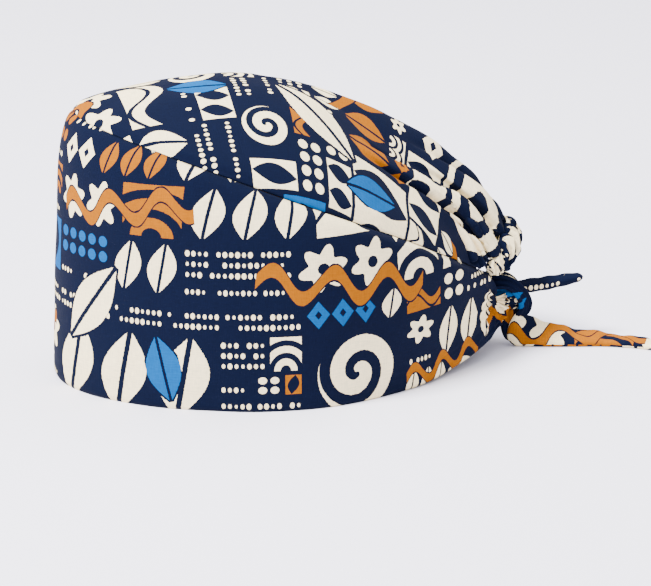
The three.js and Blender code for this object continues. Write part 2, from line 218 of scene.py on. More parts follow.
def chart_fields(mesh, flat, fields, name):
    """Gives each face the field of the chart that it lies in, and its place in that field.

    A motif is stretched a little along its field, so that none is cut off at the field's side.
    """
    corner = np.zeros(len(mesh.loops), int)
    mesh.loops.foreach_get("vertex_index", corner)
    spot = flat[corner].reshape(-1, 4, 2)
    middle = spot.mean(axis=1)
    repeat = np.array([REPEAT_ALONG, REPEAT_UP])
    place = np.zeros_like(spot)
    facts = {key: np.zeros(len(middle)) for key in ("motif", "ink", "span", "rise")}
    for left, low, width, height, tilt, motif, ink in fields:
        c, s = math.cos(math.radians(tilt)), math.sin(math.radians(tilt))
        turn_back = np.array([[c, -s], [s, c]])
        centre = np.array([left + width / 2, low + height / 2])
        off = np.mod(middle - centre + repeat / 2, repeat) - repeat / 2
        size = np.array([width, height])
        margin = 1.5 if name == "over" else 0.001
        here = (np.abs(off @ turn_back) < size / 2 + margin).all(axis=1)
        from_centre = (spot[here] - middle[here][:, None] + off[here][:, None]) @ turn_back
        unit = MARK_LINE if motif == "marks" else height - FIELD_GAP
        side_by_side = SIDE_BY_SIDE.get(motif, 0) * (width - FIELD_GAP) / unit
        stretch = max(1, round(side_by_side)) / side_by_side if side_by_side else 1
        place[here] = (from_centre + size / 2 - FIELD_GAP / 2) / unit * np.array([stretch, 1])
        facts["motif"][here] = MOTIFS.index(motif)
        facts["ink"][here] = INKS.index(ink)
        facts["span"][here] = (width - FIELD_GAP) / unit * stretch
        facts["rise"][here] = math.floor((height - FIELD_GAP) / unit + 0.01)
    mesh.uv_layers.new(name=name + "_place").data.foreach_set("uv", place.reshape(-1))
    for key, values in facts.items():
        layer = mesh.attributes.new(f"{name}_{key}", "FLOAT", "FACE")
        layer.data.foreach_set("value", values)


def make_cloth(name, points, flat, closed=False):
    """A grid of cloth through points, in mm; flat is where each point lies on the flat cloth."""
    rows, columns = points.shape[:2]
    bpy.ops.object.select_all(action="DESELECT")
    bpy.ops.mesh.primitive_grid_add(x_subdivisions=columns - 1, y_subdivisions=rows - 1, size=1)
    piece = bpy.context.object
    piece.name = name
    mesh = piece.data
    start = np.zeros(len(mesh.vertices) * 3)
    mesh.vertices.foreach_get("co", start)
    start = start.reshape(-1, 3) + 0.5
    column = np.rint(start[:, 0] * (columns - 1)).astype(int)
    row = np.rint(start[:, 1] * (rows - 1)).astype(int)
    placed = (points + np.array([0, cap_y, 0])) * MM
    mesh.vertices.foreach_set("co", placed[row, column].reshape(-1))
    spot = flat[row, column]
    corner = np.zeros(len(mesh.loops), int)
    mesh.loops.foreach_get("vertex_index", corner)
    mesh.uv_layers.active.name = "cloth"
    mesh.uv_layers.active.data.foreach_set("uv", spot[corner].reshape(-1))
    chart_fields(mesh, spot, fields, "ground")
    chart_fields(mesh, spot, OVERPRINT, "over")
    mesh.update()
    if closed:
        bpy.ops.object.mode_set(mode="EDIT")
        bpy.ops.mesh.select_all(action="SELECT")
        bpy.ops.mesh.remove_doubles(threshold=1e-6)
        bpy.ops.mesh.normals_make_consistent(inside=False)
        bpy.ops.object.mode_set(mode="OBJECT")
    bpy.ops.object.shade_smooth()
    print(name, "faces", len(mesh.polygons))
    return piece


def give_thickness(piece, thickness):
    wall = piece.modifiers.new("wall", "SOLIDIFY")
    wall.thickness = thickness * MM
    wall.offset = -1
    wall.use_rim = True
    bpy.context.view_layer.objects.active = piece
    bpy.ops.object.modifier_apply(modifier=wall.name)


def length_along(points, axis):
    step = np.linalg.norm(np.diff(points, axis=axis), axis=2)
    pad = [(0, 0), (0, 0)]
    pad[axis] = (1, 0)
    return np.pad(np.cumsum(step, axis=axis), pad)


def ripple(u, v, seed, size):
    """A soft unevenness between about -1 and 1, size mm from one swell to the next."""
    rng = np.random.default_rng(seed)
    total = np.zeros_like(np.asarray(u, float))
    for _ in range(7):
        heading, phase = rng.uniform(0, math.pi), rng.uniform(0, 2 * math.pi)
        wave = 2 * math.pi / (size * rng.uniform(0.7, 1.7))
        total = total + np.sin((u * math.cos(heading) + v * math.sin(heading)) * wave + phase)
    return total / 3.5


# %% [markdown]
# ## The side band
# The band is a deep strip round the front and both sides. It stands nearly upright, leans in at
# its top where the crown is sewn on, and narrows towards the back, where its ends are pulled into
# the knot in fine radiating folds.

# %% Outlines of the band
RIM_BACK, RIM_HALF_WIDTH = 118, 81
SEAM_FRONT, SEAM_HALF_WIDTH = 104.5, 71.5
FRONT_HEIGHT, END_LIFT = 135, 20
BAND_END_ANGLE = 172
BAND = {
    "at": [0, 30, 60, 90, 115, 130, 145, 160, 172],
    "rim_pinch": [0, 0, 0, 0, 0.13, 0.25, 0.36, 0.42, 0.31],
    "lift": [0, 0, 0, 0, 0.01, 0.14, 0.39, 0.74, 1],
    "seam_pinch": [0, 0, 0, 0, 0.09, 0.215, 0.346, 0.36, 0.33],
    "height": [1, 0.967, 0.872, 0.723, 0.562, 0.451, 0.356, 0.304, 0.283],
}
PROFILE = {"at": [0, 0.3, 0.6, 0.8, 0.92, 1], "inset": [0, 0.03, 0.08, 0.23, 0.54, 1]}


def rim_point(angle):
    turned, a = np.abs(angle), np.radians(angle)
    long = mix(RIM_FRONT, RIM_BACK, smooth(turned, 60, 120))
    return np.stack([
        RIM_HALF_WIDTH * np.sin(a) * (1 - read(BAND, "rim_pinch", turned)),
        -long * np.cos(a),
        END_LIFT * np.maximum(0, read(BAND, "lift", turned)),
    ], axis=-1)


def seam_point(angle):
    turned, a = np.abs(angle), np.radians(angle)
    long = mix(SEAM_FRONT, RIM_BACK, smooth(turned, 60, 150))
    return np.stack([
        SEAM_HALF_WIDTH * np.sin(a) * (1 - read(BAND, "seam_pinch", turned)),
        -long * np.cos(a),
        FRONT_HEIGHT * read(BAND, "height", turned),
    ], axis=-1)


# %% Shape the band
columns, rows = 421, 76
GATHERED_TOP = 28  # how low the band's upper edge is drawn where it goes into the knot
KNOT_HOLE = (109.5, 27.5)  # where the folds of the band's end meet, along Y and Z
from_front = np.linspace(-1, 1, columns)
from_front = 1.25 * from_front - 0.25 * from_front ** 3  # finer towards both ends
angle = BAND_END_ANGLE * from_front[None, :] * np.ones((rows, 1))
share = np.linspace(0, 1, rows)[:, None] * np.ones((1, columns))
turned = np.abs(angle)
rim, seam = rim_point(angle), seam_point(angle)
seam[..., 2] = mix(seam[..., 2], GATHERED_TOP, smooth(turned, 148, 163))
inset = read(PROFILE, "inset", share)[..., None]
level = mix(rim[..., :2], seam[..., :2], inset)
band = np.concatenate([level, mix(rim[..., 2:], seam[..., 2:], share[..., None])], axis=2)

along = length_along(band, 1)[rows // 3][None, :] * np.ones((rows, 1))
height = length_along(band, 0) + band[:1, :, 2]
out = -cloth_normals(band)
if out[rows // 3, columns // 2, 1] > 0:
    out = -out
sag = 0.9 * ripple(along, height, 5, 95) * smooth(share, 0, 0.25) * (1 - smooth(share, 0.85, 1))
crease = 0.3 * ripple(along, height * 0.5, 8, 26) * (1 - smooth(share, 0.9, 1))
to_seam = (seam[..., 2] - rim[..., 2]) * (1 - share)
roll_in = -1.5 * (1 - smooth(to_seam, 0, 3.2))
proud = 0.5 * np.exp(-(((to_seam - 5) / 3) ** 2))
flat_front = -3.3 * np.exp(-((angle / 48) ** 2)) * np.exp(-(((share - 0.6) / 0.28) ** 2))
to_rim = (seam[..., 2] - rim[..., 2]) * share
hem = -0.8 * (1 - smooth(to_rim, 0, 1.6)) - 0.22 * np.exp(-(((to_rim - 9) / 0.9) ** 2))

# The folds run out from the hole in the knot like the rays of a shell.
ahead, over = band[..., 1] - KNOT_HOLE[0], band[..., 2] - KNOT_HOLE[1]
from_hole, way = np.hypot(ahead, over), np.arctan2(over, ahead)
near_end = smooth(turned, 128, 150)
rays = 3.2 * (0.62 - np.abs(np.sin(way * 8 + 0.25 * np.sin(from_hole * 0.4))) ** 0.6)
fan = near_end * rays * smooth(from_hole, 1, 6) * np.exp(-((from_hole / 15) ** 2))
pulled_in = -3.4 * near_end * np.exp(-((from_hole / 6) ** 2))
rim_pleats = 0.5 * np.sin(to_rim * 2.4) * smooth(turned, 140, 156) * (1 - smooth(to_rim, 3.5, 6.5))
moved = fan + pulled_in + rim_pleats + sag + crease + roll_in + proud + hem + flat_front
band = band + out * moved[..., None]
band_flat = np.stack([along + 20, height + 6], axis=-1)
band_cloth = make_cloth("band_cloth", band, band_flat)
print("band", round(float(along.max())), "mm round")

# %% [markdown]
# The band is two layers of cotton, so the sheet gets a wall. Its outer face has to point outwards
# first, or the wall would grow the wrong way.


# %% Face outwards and give the wall
BAND_CLOTH_WALL, CROWN_CLOTH_WALL = 1.7, 1.2  # mm, two layers with the hem, and one layer with its seams


def face_outwards(piece, middle):
    mesh = piece.data
    test = mesh.polygons[len(mesh.polygons) // 2]
    if (test.center - Vector(middle)).dot(test.normal) < 0:
        bpy.ops.object.select_all(action="DESELECT")
        piece.select_set(True)
        bpy.context.view_layer.objects.active = piece
        bpy.ops.object.mode_set(mode="EDIT")
        bpy.ops.mesh.select_all(action="SELECT")
        bpy.ops.mesh.flip_normals()
        bpy.ops.object.mode_set(mode="OBJECT")


cap_middle = (0, cap_y * MM, 0.05)
face_outwards(band_cloth, cap_middle)
give_thickness(band_cloth, BAND_CLOTH_WALL)

# %% [markdown]
# ## The crown
# The crown is an oval panel, sewn to the band at the front and sides and gathered into the casing
# at the back. It is quite flat on top, and its fullness falls into folds that fan out from the
# casing. The largest of them runs far up the side.

# %% Outline of the crown
CROWN_TOP, TOP_SETBACK, CROWN_ROUNDING, CROWN_SHOULDER = 147, -25, 1.97, 0.85
CASING_ANGLE, CASING_SEAM_BACK, CASING_SEAM_HEIGHT = 145, 113, 67
LIFT_EARLY, SEAM_GAP, FAN_SPREAD = 0.12, 0.35, 65


def crown_edge(angle):
    turned = np.abs(angle)
    edge = seam_point(np.minimum(turned, CASING_ANGLE))
    edge[..., 2] += SEAM_GAP
    corner = seam_point(np.array(CASING_ANGLE)) + [0, 0, SEAM_GAP]
    onward = seam_point(np.array(CASING_ANGLE + 1.0)) - seam_point(np.array(CASING_ANGLE))
    onward[2] = 0
    handle = (CASING_SEAM_BACK - corner[1]) / 2
    back = np.array([0, CASING_SEAM_BACK, CASING_SEAM_HEIGHT])
    second = mix(corner + onward / np.linalg.norm(onward) * handle, back, LIFT_EARLY)
    third = np.array([handle, back[1], back[2]])
    t = np.clip((turned - CASING_ANGLE) / (180 - CASING_ANGLE), 0, 1)[..., None]
    curve = corner * (1 - t) ** 3 + 3 * second * t * (1 - t) ** 2
    curve = curve + 3 * third * t * t * (1 - t) + back * t ** 3
    edge = np.where((turned > CASING_ANGLE)[..., None], curve, edge)
    edge[..., 0] *= np.where(angle < 0, -1, 1)
    return edge


def crown_base(angle, away):
    edge = crown_edge(angle)
    fall = np.maximum(0, 1 - away ** CROWN_ROUNDING) ** CROWN_SHOULDER
    return np.stack([
        edge[..., 0] * away,
        mix(TOP_SETBACK, edge[..., 1], away),
        mix(edge[..., 2], CROWN_TOP, fall),
    ], axis=-1)


# %% [markdown]
# Two kinds of fold lie on it. Broad, soft ones fan out from the casing. On top of them lie a few
# tucks, each a roll of cloth with a crease on both sides, drawn along a path on the crown.

# %% Broad folds
FOLDS = {
    "across": [-0.8, -0.52, -0.24, 0.0, 0.24, 0.44, 0.69, 0.9],
    "reach": [62, 84, 48, 60, 42, 56, 80, 44],
    "rise": [2.6, 3.8, 2.4, 2.8, 2.4, 2.6, 3.2, 1.8],
    "width": [0.13, 0.12, 0.1, 0.11, 0.1, 0.1, 0.11, 0.09],
}
corner_x = float(crown_edge(np.array(float(CASING_ANGLE)))[0])


def fold_rise(point, angle, away):
    behind = CASING_SEAM_BACK - point[..., 1]
    across = point[..., 0] / (corner_x * (1 + behind / FAN_SPREAD))
    rise = np.zeros_like(away)
    columns = [FOLDS[key] for key in ("across", "reach", "rise", "width")]
    for place, reach, high, wide in zip(*columns):
        strength = high * smooth(reach - behind, 0, reach * 0.7)
        off = (across - place) / wide
        rise += strength * (np.exp(-off * off) - 0.5 * np.exp(-((np.abs(off) - 1.7) ** 2)))
    gathered = 0.55 - np.abs(np.sin(across * 17 + 0.9 * np.sin(across * 7))) ** 0.7
    gathers = 2.0 * gathered * (1 - smooth(behind, 3, 26))
    on_casing = smooth(np.abs(angle), CASING_ANGLE - 7, CASING_ANGLE + 3)
    on_seam = 1 - smooth(away, 0.75, 0.98)
    return rise * mix(on_seam, mix(1, 0.35, smooth(away, 0.85, 1)), on_casing) + gathers * on_casing


# %% Tucks
TUCKS = [
    # half width in mm, then rows of angle round the crown, share out from its top, height in mm
    (4.2, [(124, 0.62, 0), (128, 0.69, 1.2), (137, 0.775, 2.8), (147, 0.835, 4.2), (152, 0.88, 4.8),
           (153, 0.92, 4.8), (154.5, 0.96, 4.2), (156, 0.995, 2.8)]),
    (2.4, [(138, 0.82, 0), (144, 0.87, 1.3), (147.5, 0.91, 2.4), (149, 0.95, 2.6),
           (151, 0.995, 1.8)]),
    (5.5, [(152, 0.66, 0), (160, 0.76, 1), (165, 0.85, 2.2), (169, 0.93, 3), (169, 0.995, 1.6)]),
    (1.9, [(155, 0.85, 0), (158, 0.905, 0.9), (161.5, 0.95, 1.4), (163.5, 0.995, 1)]),
    (2.1, [(143, 0.91, 0), (143.5, 0.95, 1.5), (142.5, 0.985, 1.4)]),
    (2.0, [(146.5, 0.92, 0), (147, 0.96, 1.4), (147, 0.995, 1.2)]),
    (2.6, [(176, 0.8, 0), (178, 0.9, 1.6), (177, 0.995, 1.6)]),
    (4.0, [(-130, 0.66, 0), (-142, 0.78, 1.8), (-151, 0.87, 3.4), (-155, 0.93, 3.8),
           (-157, 0.995, 2.2)]),
    (2.6, [(-144, 0.86, 0), (-148, 0.93, 1.8), (-150, 0.995, 1.4)]),
    (5.0, [(-158, 0.7, 0), (-165, 0.82, 1.8), (-169, 0.92, 2.6), (-168, 0.995, 1.6)]),
]


def lay_tucks(points):
    """How far each point is raised by the tucks, and moved along the cloth by them, in mm.

    A roll is narrower at its foot than at its middle, so that it overhangs its creases.
    """
    rise, along_cloth = np.zeros(points.shape[:2]), np.zeros(points.shape)
    for half_width, stations in TUCKS:
        station = {"at": list(range(len(stations)))}
        for number, key in enumerate(("angle", "away", "high")):
            station[key] = [row[number] for row in stations]
        x = np.linspace(0, len(stations) - 1, 90)
        path = crown_base(read(station, "angle", x), read(station, "away", x))
        height = read(station, "high", x)
        nearest, high = np.full(rise.shape, 1e9), np.zeros(rise.shape)
        from_path = np.zeros(points.shape)
        for spot, spot_high in zip(path, height):
            gap = np.linalg.norm(points - spot, axis=2)
            closer = gap < nearest
            nearest, high = np.where(closer, gap, nearest), np.where(closer, spot_high, high)
            from_path = np.where(closer[..., None], points - spot, from_path)
        off = nearest / half_width
        roll = np.sqrt(np.clip(1 - off * off, 0, 1))
        rise += high * (1.35 * roll - 1.1 * np.exp(-(((off - 1.25) / 0.36) ** 2)))
        bulge = 0.34 * np.sin(math.pi * np.clip(off, 0, 1))
        pinch = 0.26 * np.exp(-(((off - 1.3) / 0.3) ** 2))
        push = (bulge - pinch) * half_width * smooth(high, 0.4, 2.4)
        along_cloth += from_path / (nearest[..., None] + 1e-6) * push[..., None]
    return rise, along_cloth


# %% Shape the crown
side = 213
across_grid, back_grid = np.meshgrid(np.linspace(-1, 1, side), np.linspace(-1, 1, side))
back_grid = back_grid + 0.24 * (1 - back_grid ** 2)  # finer towards the gathered back
disc_x = across_grid * np.sqrt(1 - back_grid ** 2 / 2)
disc_y = back_grid * np.sqrt(1 - across_grid ** 2 / 2)
away = np.clip(np.hypot(disc_x, disc_y), 0, 1)
angle = np.degrees(np.arctan2(disc_x, -disc_y))
crown = crown_base(angle, away)
drop = CROWN_TOP - crown[..., 2]
plan_x, plan_y = crown[..., 0], crown[..., 1] - TOP_SETBACK
reach = np.hypot(plan_x, plan_y) + 1e-6
travelled = np.hypot(reach, drop) * 1.03
lateral, fore = plan_x / reach * travelled, plan_y / reach * travelled
out = cloth_normals(crown)
if out[side // 2, side // 2, 2] < 0:
    out = -out
edge_gap = (1 - away) * 60
on_band = 1 - smooth(np.abs(angle), CASING_ANGLE - 6, CASING_ANGLE)
tucked_in = -1.3 * (1 - smooth(edge_gap, 0, 3)) * on_band
soft = 1.1 * ripple(lateral, fore, 21, 80) * (1 - smooth(away, 0.82, 0.98))
fine = 0.3 * ripple(lateral, fore * 0.6, 23, 24) * (1 - smooth(away, 0.9, 1))
tucked, moved_along = lay_tucks(crown)
raised = fold_rise(crown, angle, away) + tucked + tucked_in + soft + fine
crown = crown + out * raised[..., None] + moved_along
crown_flat = np.stack([lateral + 150, fore + 150], axis=-1)
crown_cloth = make_cloth("crown_cloth", crown, crown_flat)
face_outwards(crown_cloth, cap_middle)
give_thickness(crown_cloth, CROWN_CLOTH_WALL)
print("tucks from", round(float(tucked.min()), 1), "to", round(float(tucked.max()), 1), "mm")

# %% [markdown]
# ## The elastic casing
# The back edge of the crown is turned over an elastic and sewn down. The elastic pulls this tube
# short, so its cloth stands in tight, uneven ruffles.

# %% Ruffled tube
CASING_HEIGHT, CASING_THICKNESS, CASING_PROUD, RUFFLES = 21, 10, 4, 11
lengthwise, round_it = 520, 49
turned = np.linspace(7, 173, lengthwise)[None, :] * np.ones((round_it, 1))
# The tube closes along its inner side, where the seam in its print doesn't show.
around = np.linspace(math.pi, 3 * math.pi, round_it)[:, None] * np.ones((1, lengthwise))
a = np.radians(turned)
edge_angle = mix(CASING_ANGLE, 360 - CASING_ANGLE, turned / 180)
edge = crown_edge(np.where(edge_angle > 180, edge_angle - 360, edge_angle))
fullness = np.sin(a)
end_close = np.sqrt(np.clip(1 - np.abs(turned - 90) / 83, 0, 1) * 8).clip(0, 1)
half_high = CASING_HEIGHT / 2 * fullness * end_close
half_thick = CASING_THICKNESS / 2 * mix(0.35, 1, fullness) * end_close
wander = 0.5 * np.sin(5 * a) + 0.4 * np.sin(3 * a + 1) + 0.34 * np.sin(around * 2 + 3 * a)
tall_ruffle = np.abs(np.sin(1.8 * RUFFLES * a + 1.6 * wander)) ** 0.5
small_ruffle = np.abs(np.sin(3.6 * RUFFLES * a + 3 * wander + 2.2 * np.sin(around + 1))) ** 0.55
crumple = ripple(turned * 1.4, around * 5, 31, 6)
ruffle = 3.9 * (tall_ruffle - 0.7) + 2.7 * (small_ruffle - 0.66) + 1.3 * crumple
outward = np.stack([np.cos(a), np.sin(a), np.zeros_like(a)], axis=-1)
high = np.array([0, 0, 1.0])
middle = edge - high * (half_high + SEAM_GAP)[..., None]
middle = middle + outward * (CASING_PROUD * fullness - 0.8)[..., None]
behind = np.maximum(0, np.cos(around)) ** 0.5
stitched = 0.9 * np.exp(-(((np.sin(around) + 0.25) / 0.16) ** 2))  # the row that holds the elastic
pleated = (0.5 + ruffle - stitched) * mix(0.6, 1, fullness) * end_close
bulge = np.cos(around) * half_thick + behind * pleated
rise_by = np.sin(around) * (half_high + 0.4 * ruffle * end_close)
casing = middle + outward * bulge[..., None] + high * rise_by[..., None]
casing_flat = np.stack([turned * 1.3 + 236, (around - math.pi) * 10 + 221], axis=-1)
casing_cloth = make_cloth("casing_cloth", casing, casing_flat, closed=True)

# %% [markdown]
# ## Straps
# The ties and the turns of the knot are the same thing: a strap of folded cotton, sewn along one
# edge. Each is a tube of cloth. Its section is rounded off like a folded edge, and its end closes.


# %% Straps as tubes
def unit(vectors):
    return vectors / (np.linalg.norm(vectors, axis=-1, keepdims=True) + 1e-9)


def rounded(corners, times=3):
    """Closed outlines with their corners cut off, again and again."""
    for _ in range(times):
        following = np.roll(corners, -1, axis=1)
        cut_off = np.stack([mix(corners, following, 0.22), mix(corners, following, 0.78)], axis=2)
        corners = cut_off.reshape(len(corners), -1, corners.shape[-1])
    return np.concatenate([corners, corners[:, :1]], axis=1)


def closed_off(points, rounding=2.0):
    """Draws the ends of a tube together over a length of rounding mm, so that they are shut."""
    centre = points.mean(axis=1, keepdims=True)
    run = np.linalg.norm(np.diff(centre[:, 0], axis=0), axis=1).cumsum()
    run = np.concatenate([[0], run])
    left = np.minimum(run, run[-1] - run) / rounding
    shares = np.sqrt(1 - (1 - np.clip(left, 0, 1)) ** 2)
    return centre + (points - centre) * shares[:, None, None]


def flat_strap(points, flat_at):
    centre = points.mean(axis=1)
    run = np.concatenate([[0], np.cumsum(np.linalg.norm(np.diff(centre, axis=0), axis=1))])
    broadest = points[len(points) // 2]
    across = np.concatenate([[0], np.cumsum(np.linalg.norm(np.diff(broadest, axis=0), axis=1))])
    flat = np.stack(np.meshgrid(run + flat_at[0], across + flat_at[1], indexing="ij"), axis=-1)
    return flat


def lay_strap(path, face, half_wide, half_thick, ridges=0.0, round_it=41):
    """A strap along path whose broad side looks the way of face."""
    forward = unit(np.gradient(path, axis=0))
    wide = unit(np.cross(face, forward))
    thick = unit(np.cross(forward, wide))
    around = np.linspace(0, 2 * math.pi, round_it)
    across = np.sign(np.cos(around)) * np.abs(np.cos(around)) ** 0.85
    through = np.sign(np.sin(around)) * np.abs(np.sin(around)) ** 0.7
    ridge = ridges * np.cos(across * 8.5) * np.sign(np.sin(around) + 1e-9)
    half_wide, half_thick = half_wide[:, None], half_thick[:, None]
    return (
        path[:, None]
        + wide[:, None] * (half_wide * across)[..., None]
        + thick[:, None] * (half_thick * through + ridge * half_thick)[..., None]
    )


def strap_cloth(name, points, flat_at):
    flat = flat_strap(points, flat_at)
    return make_cloth(name, points.transpose(1, 0, 2), flat.transpose(1, 0, 2), closed=True)


# %% [markdown]
# ## The long tie
# It drops from the knot to the table and runs along it. Beside the knot it stands on edge, and then
# it leans further and further back until it lies flat. Its near edge stays upright, a little more
# than the strap's thickness high.

# %% Long tie
KNOT_HALF_DEPTH, FLOOR_GAP = 8, 0.1
band_end = mix(rim_point(np.array(172.0)), seam_point(np.array(172.0)), 0.5)
knot_at = np.array([0, band_end[1] + KNOT_HALF_DEPTH / 3, band_end[2]])
LONG_TIE = {
    "at": [0, 7, 21, 36, 49, 65, 76, 82],  # mm from its start
    "x": [8.4, 10, 13.6, 17.2, 19.8, 25.6, 31.4, 35],
    "y": [115.5, 121, 134.4, 149.5, 162.3, 176.6, 185.4, 190.2],
    "edge": [3.2, 3.2, 3.1, 3.1, 3, 2.9, 2.6, 2.2],
    "face": [11, 15, 13.6, 13, 12.4, 11.4, 9.5, 7],
    "slope": [78, 69, 36, 20, 9, 4, 2, 0],
}
STRAP_THICKNESS = 2.7
x = np.linspace(0, 82, 150)
near = np.stack([read(LONG_TIE, "x", x), read(LONG_TIE, "y", x), 0 * x + FLOOR_GAP], axis=-1)
ahead = unit(np.gradient(near, axis=0))
beside = np.stack([ahead[:, 1], -ahead[:, 0], 0 * x], axis=-1)  # towards the camera's side
slope = np.radians(read(LONG_TIE, "slope", x)) + 0.05 * np.sin(x * 0.3)
edge_high = read(LONG_TIE, "edge", x) * (1 + 0.06 * np.sin(x * 0.8 + 1))
face_wide = read(LONG_TIE, "face", x) * (1 + 0.025 * np.sin(x * 0.45))
corner_1 = np.stack([0 * x, 0 * x], axis=-1)
corner_2 = np.stack([0.5 + 0.3 * np.sin(x * 0.33), edge_high], axis=-1)
corner_3 = corner_2 + face_wide[:, None] * np.stack([-np.cos(slope), np.sin(slope)], axis=-1)
face_in = -STRAP_THICKNESS * np.stack([np.sin(slope), np.cos(slope)], axis=-1)
corner_4 = corner_3 + face_in
corner_5 = corner_2 + face_in - np.stack([STRAP_THICKNESS * np.cos(slope) * 0.6, 0 * x], axis=-1)
corner_6 = np.stack([-STRAP_THICKNESS + 0 * x, 0 * x], axis=-1)
halfway = mix(corner_2, corner_3, 0.5) + 0.35 * np.stack([np.sin(slope), np.cos(slope)], axis=-1)
outline = np.stack([corner_1, corner_2, halfway, corner_3, corner_4, corner_5, corner_6], axis=1)
outline = rounded(outline)
above = np.array([0, 0, 1])
tie_points = near[:, None] + beside[:, None] * outline[..., :1] + above * outline[..., 1:]
tie_points[..., 2] += FLOOR_GAP - tie_points[..., 2].min(axis=1, keepdims=True)
long_tie = strap_cloth("long_tie_cloth", closed_off(tie_points, 6), (12, 96))

# %% [markdown]
# Where it leaves the knot, the tie is bunched up and hangs down in a short loop before it turns.

# %% Loop under the knot
LOOP = np.array([[1, 1, -9], [2.4, 0.2, -13], [4.2, -0.7, -18], [5.4, -0.4, -23], [5.8, 1, -27.2]])
x = np.linspace(0, 1, 60)
loop_table = {"at": [0, 0.2, 0.5, 0.8, 1], "x": LOOP[:, 0], "y": LOOP[:, 1], "z": LOOP[:, 2]}
path = knot_at + np.stack([read(loop_table, key, x) for key in ("x", "y", "z")], axis=-1)
bulk = 0.75 + 0.35 * np.sin(x * math.pi)
points = lay_strap(path, np.array([1, -0.25, 0.1]), 5.0 * bulk, 2.1 * bulk, ridges=0.22)
tie_loop = strap_cloth("tie_loop", closed_off(points, 4), (120, 66))

# %% [markdown]
# ## The short tie
# This end is stiff enough to stand out from the knot on its own. Its lower edge is folded under,
# so it lies in shade.

# %% Short tie
SHORT_TIE = {
    "at": [0, 6, 16, 27, 35, 38.5],
    "x": [0.5, 0.9, 1.2, 1.8, 2.4, 2.7],
    "z": [-0.6, 0, 0.6, 2.1, 3.3, 3.8],
    "half": [2.8, 3.7, 3.9, 3.5, 2.8, 1.7],
}
x = np.linspace(0, 38.5, 90)
path = knot_at + np.stack([read(SHORT_TIE, "x", x), x, read(SHORT_TIE, "z", x)], axis=-1)
ahead = unit(np.gradient(path, axis=0))
beside = unit(np.stack([ahead[:, 1], -ahead[:, 0], 0 * x], axis=-1))
half = read(SHORT_TIE, "half", x) * (1 + 0.05 * np.sin(x * 0.7))
corners = [(-1.0, 1.0), (0.55, 0.35), (0.5, -0.45), (-0.25, -1.0), (-0.75, -0.8), (-0.95, 0.2)]
outline = rounded(np.stack([half[:, None] * np.array(corner) for corner in corners], axis=1))
short_points = path[:, None] + beside[:, None] * outline[..., :1] + above * outline[..., 1:]
short_tie = strap_cloth("short_tie_cloth", closed_off(short_points, 3), (72, 43))

# %% [markdown]
# ## The knot
# Both ends of the band go through it. What shows is a lump of cloth, pleated like a shell where it
# is drawn into the knot, and one strap that goes over it on both sides and is pulled tight below.

# %% Pleated middle of the knot
CORE_HALF_SIZE, CORE_OFFSET = (6.8, 10, 8.6), (0.3, -2.2, -4)
full_turn = np.linspace(0, 2 * math.pi, 181)
pole_to_pole = np.linspace(-math.pi / 2, math.pi / 2, 61)
turns, tall = np.meshgrid(full_turn, pole_to_pole)
shell = np.abs(np.sin(turns * 5.5 + 0.5 * np.sin(2 * tall))) ** 0.75
pleat = 1 - 0.2 * (1 - shell) * np.cos(tall) ** 0.5 + 0.03 * np.sin(turns * 3 + 4 * tall)
core = knot_at + np.array(CORE_OFFSET) + np.stack([
    CORE_HALF_SIZE[0] * np.cos(tall) * np.cos(turns) * pleat,
    CORE_HALF_SIZE[1] * np.sin(tall),
    CORE_HALF_SIZE[2] * np.cos(tall) * np.sin(turns) * pleat,
], axis=-1)
core_flat = np.stack([turns * 8 + 60, tall * 11 + 30], axis=-1)
knot_core = make_cloth("knot_core", core, core_flat, closed=True)

# %% Strap over the knot
OVER = np.array([
    (3.4, -14.5, 5.6), (5.2, -10.8, 5.4), (6.2, -7.4, 5.3), (6.9, -4.2, 4.8), (7.4, -1.2, 3.4),
    (7.6, 1.5, 1.1), (7.4, 3.8, -1.8), (7, 5.4, -4.8), (6.4, 6.2, -7.8), (5.4, 5.9, -10.6),
    (4, 4.6, -13.2), (2, 2.6, -15.2), (-0.6, 1.4, -15.8), (-3.2, 2.6, -14.4), (-5.2, 4.2, -11.4),
    (-6.4, 4.8, -7.6), (-7, 4, -3.4), (-7.2, 1.4, 0.6), (-6.8, -2.4, 3.4), (-5.8, -7, 4.9),
    (-3.4, -12, 5.8), (0, -14.6, 6),
])
around = np.linspace(0, len(OVER), 241)
low = np.floor(around).astype(int) % len(OVER)
t = (around - np.floor(around))[:, None]
before, start, end, after = (OVER[(low + step) % len(OVER)] for step in (-1, 0, 1, 2))
path = 0.5 * (
    2 * start + (end - before) * t
    + (2 * before - 5 * start + 4 * end - after) * t ** 2
    + (3 * start - 3 * end + after - before) * t ** 3
)
outwards = unit(path - np.array([0, -3.5, -5]))
sideways = np.sign(path[:, :1]) * smooth(np.abs(path[:, :1]), 0, 3)
face = unit(outwards + np.array([0.9, 0, 0]) * sideways)
breadth = 4.0 * (1 + 0.1 * np.sin(around * 0.7 + 2))
depth = 1.5 * (1 + 0.12 * np.sin(around * 0.9))
points = lay_strap(knot_at + path, face, breadth, depth, ridges=0.34)
points[-1] = points[0]
knot_over = strap_cloth("knot_over", points, (24, 142))

# %% [markdown]
# ## Printed cotton poplin
# Poplin is a fine plain weave of about 0.3 mm threads, matt, with a faint sheen at a glancing
# angle. In the picture a pixel is half a millimetre, so the weave is drawn at 1 mm to show as the
# fine grain that the eye sees. The ink soaks in, so its edge is a little uneven, and it is as matt
# as the cloth.


